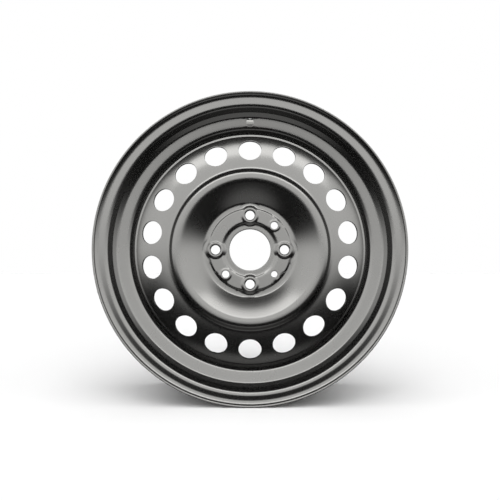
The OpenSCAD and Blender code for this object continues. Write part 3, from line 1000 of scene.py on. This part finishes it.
class WHEEL_OT_welds(bpy.types.Operator):
    """Lay the rippled weld beads in the corner behind the disc"""

    bl_idname = "wheel.welds"
    bl_label = "Weld Beads"

    def execute(self, context):
        s = setting("welds")
        look = setting("finish")
        paint = paint_material(
            "weld_paint", look, look.weld_paint, look.weld_roughness, look.weld_peel
        )
        for k in range(s.count):
            clock = (k + 0.5) * math.tau / s.count
            bm = self.bead(s, clock, k)
            finish_piece(bm, f"weld_bead_{k + 1}", paint, [f"weld_{k + 1}"], BEAD_SHARP)
        return {"FINISHED"}

    def bead(self, s, clock, seed):
        """One bead: a section spun along its arc, with ripples and two rounded ends."""
        rim = setting("rim")
        corner = Vector((rim.seat_radius - rim.well_depth - rim.thickness, DISC_HIGH.y))
        bm = bmesh.new()
        section = [corner + Vector(at) * s.leg for at in BEAD_SECTION]
        start = clock - s.arc / 2
        verts = [bm.verts.new(clock_point(start, p.x, p.y)) for p in section]
        edges = [bm.edges.new(pair) for pair in zip(verts, verts[1:] + verts[:1])]
        steps = int(corner.x * s.arc / BEAD_STEP)
        bmesh.ops.spin(
            bm, geom=verts + edges, cent=(0, 0, 0), axis=AXLE, dvec=(0, 0, 0),
            angle=s.arc, steps=steps, use_merge=False, use_duplicate=False,
        )
        bmesh.ops.holes_fill(bm, edges=[e for e in bm.edges if e.is_boundary], sides=0)
        root = corner + BEAD_ROOT * s.leg
        for vert in bm.verts:
            self.ripple(vert, s, start, root, seed)
        return bm

    def ripple(self, vert, s, start, root, seed):
        """Draws a vertex in towards the bead's root, by ripples and at the ends."""
        clock = clock_of(vert.co)
        way = (clock - start) % math.tau * root.x
        total = s.arc * root.x
        point = Vector((math.hypot(vert.co.x, vert.co.z), vert.co.y))
        out = point - root
        crest = min(1.0, out.length / (CREST_REACH * s.leg))
        wobble = noise.noise(Vector((way * WOBBLES_PER_METRE, seed * WOBBLE_SEED, 0.0)))
        wave = abs(math.sin(math.pi * way / s.ripple_pitch + wobble * WOBBLE_PULL))
        end = min(1.0, way / (END_REACH * s.leg), (total - way) / (END_REACH * s.leg))
        swell = math.sqrt(max(0.0, 1 - (1 - end) ** 2))
        size = END_SIZE + (1 - END_SIZE) * swell
        scale = size * (1 - s.ripple_depth * (1 - wave) * crest / out.length)
        point = root + out * min(scale * (1 + WOBBLE_SWELL * wobble), 1.0)
        vert.co = clock_point(clock, point.x, point.y)


# The mirrored sky is shaded by ramps. Each has a direction, the two cosines of the angle to it
# between which it runs, and its strength at both.

HORIZON = ((0, 0, 1), (-0.36, 0.04), (0.015, 1.0))
ROOF = ((0, 0.707, 0.707), (0.56, 0.8), (1.0, 0.05))
REAR = ((0, 1, 0), (0.3, 0.8), (1.0, 0.2))
FLOOR_GLOW = ((0, 0.5, -0.866), (0.75, 0.98), (0.0, 0.22))

# The floor's lights: turn from the front and height above the horizon in degrees, and share

SUNS = ((0, 30, 0.42), (0, 82, 0.36), (-55, 35, 0.12), (55, 35, 0.12))

SOFTBOX_PLACE = Vector((0, -0.42, 1.54))
FLOOR_HALF = 8


class WHEEL_OT_stage(bpy.types.Operator):
    """Set up the floor, the lamps, the dome and the camera"""

    bl_idname = "wheel.stage"
    bl_label = "Stage"

    def execute(self, context):
        s = setting("stage")
        context.scene.view_settings.view_transform = "Standard"
        self.floor(context.scene, s)
        self.dome(context.scene, s)
        self.softbox(context.scene, s)
        for turn, height, power in SUNS:
            self.sun(context.scene, s, math.radians(turn), math.radians(height), power)
        self.camera(context.scene, s)
        return {"FINISHED"}

    def floor(self, scene, s):
        """A pale, dull floor under the wheel, which the camera alone sees."""
        bm = bmesh.new()
        bmesh.ops.create_grid(bm, x_segments=1, y_segments=1, size=FLOOR_HALF)
        bmesh.ops.translate(bm, verts=bm.verts, vec=(0, 0, RIM_LOW.z))
        mesh = bpy.data.meshes.new("floor")
        bm.to_mesh(mesh)
        bm.free()
        material = bpy.data.materials.new("floor")
        material.use_nodes = True
        shader = material.node_tree.nodes["Principled BSDF"]
        shader.inputs["Base Color"].default_value = (*s.floor_colour, 1.0)
        shader.inputs["Roughness"].default_value = 0.9
        shader.inputs["Specular IOR Level"].default_value = 0.0
        mesh.materials.append(material)
        floor = bpy.data.objects.new("floor", mesh)
        scene.collection.objects.link(floor)
        floor.visible_glossy = False
        floor.visible_diffuse = False

    def dome(self, scene, s):
        """A white background for what the camera sees, a shaded sky for reflections, and a weak
        light for dull things."""
        world = bpy.data.worlds.new("dome")
        scene.world = world
        world.use_nodes = True
        nodes, links = world.node_tree.nodes, world.node_tree.links
        background = nodes["Background"]
        path = nodes.new("ShaderNodeLightPath")
        way = nodes.new("ShaderNodeTexCoord").outputs["Generated"]

        def math_node(operation, a, b):
            node = nodes.new("ShaderNodeMath")
            node.operation = operation
            for socket, value in zip(node.inputs, (a, b)):
                if isinstance(value, float):
                    socket.default_value = value
                else:
                    links.new(value, socket)
            return node.outputs[0]

        def ramp(direction, cosines, strengths):
            cosine = nodes.new("ShaderNodeVectorMath")
            cosine.operation = "DOT_PRODUCT"
            cosine.inputs[1].default_value = direction
            links.new(way, cosine.inputs[0])
            run = nodes.new("ShaderNodeMapRange")
            run.interpolation_type = "SMOOTHSTEP"
            run.inputs["From Min"].default_value, run.inputs["From Max"].default_value = cosines
            run.inputs["To Min"].default_value, run.inputs["To Max"].default_value = strengths
            links.new(cosine.outputs["Value"], run.inputs["Value"])
            return run.outputs["Result"]

        sky = math_node("MULTIPLY", ramp(*HORIZON), ramp(*ROOF))
        sky = math_node("MULTIPLY", sky, ramp(*REAR))
        sky = math_node("MAXIMUM", sky, ramp(*FLOOR_GLOW))
        sky = math_node("MULTIPLY", sky, s.dome)
        seen = math_node("MAXIMUM", path.outputs["Is Camera Ray"], path.outputs["Is Transmission Ray"])
        mirrored = math_node("MULTIPLY", path.outputs["Is Glossy Ray"], sky)
        dull = math_node("MULTIPLY", path.outputs["Is Diffuse Ray"], s.ambient)
        shown = math_node("MAXIMUM", seen, mirrored)
        links.new(math_node("MAXIMUM", shown, dull), background.inputs["Strength"])
        background.inputs["Color"].default_value = (1, 1, 1, 1)

    def softbox(self, scene, s):
        """A broad lamp above the street side, which reflections alone show."""
        light = bpy.data.lights.new("softbox", "AREA")
        light.shape = "RECTANGLE"
        light.size, light.size_y = s.softbox_width, s.softbox_depth
        light.energy = s.softbox
        softbox = bpy.data.objects.new("softbox", light)
        softbox.location = SOFTBOX_PLACE
        softbox.rotation_euler = (-SOFTBOX_PLACE).to_track_quat("-Z", "Y").to_euler()
        softbox.visible_diffuse = False
        scene.collection.objects.link(softbox)

    def sun(self, scene, s, turn, height, power):
        """One of the broad lights that whiten the floor and lay the soft shadow, which
        reflections don't show."""
        light = bpy.data.lights.new("sun", "SUN")
        light.energy = s.sun * power
        light.angle = s.sun_width
        sun = bpy.data.objects.new("sun", light)
        lean = Matrix.Rotation(math.radians(90) - height, 4, "X")
        sun.matrix_world = Matrix.Rotation(turn, 4, "Z") @ lean
        sun.visible_glossy = False
        scene.collection.objects.link(sun)

    def camera(self, scene, s):
        """The photo's view: level, square on, and a little below the axle."""
        data = bpy.data.cameras.new("camera")
        data.lens = s.lens
        data.shift_y = s.shift
        camera = bpy.data.objects.new("camera", data)
        camera.location = (0, RIM_LOW.y - s.camera_distance, -s.camera_drop)
        camera.rotation_euler = (math.radians(90), 0, 0)
        scene.collection.objects.link(camera)
        scene.camera = camera


OPERATORS = (WHEEL_OT_rim, WHEEL_OT_disc, WHEEL_OT_welds, WHEEL_OT_stage)


class WHEEL_PT_panel(bpy.types.Panel):
    """Lists the wheel's pieces and their settings"""

    bl_idname = "WHEEL_PT_panel"
    bl_label = "Pressed Steel Wheel"
    bl_space_type = "VIEW_3D"
    bl_region_type = "UI"
    bl_category = "Wheel"

    def draw(self, context):
        for operator in OPERATORS:
            self.layout.operator(operator.bl_idname)
        for name, group in SETTINGS.items():
            box = self.layout.box()
            box.label(text=name.title())
            for key in group.__annotations__:
                box.prop(setting(name), key)


def register():
    for cls in (*SETTINGS.values(), *OPERATORS, WHEEL_PT_panel):
        bpy.utils.register_class(cls)
    for name, group in SETTINGS.items():
        setattr(bpy.types.Scene, f"wheel_{name}", PointerProperty(type=group))


def unregister():
    for name in SETTINGS:
        delattr(bpy.types.Scene, f"wheel_{name}")
    for cls in reversed((*SETTINGS.values(), *OPERATORS, WHEEL_PT_panel)):
        bpy.utils.unregister_class(cls)


def main():
    register()
    bpy.ops.wheel.stage()
    bpy.ops.wheel.rim()
    bpy.ops.wheel.disc()
    bpy.ops.wheel.welds()


if __name__ == "__main__":
    main()
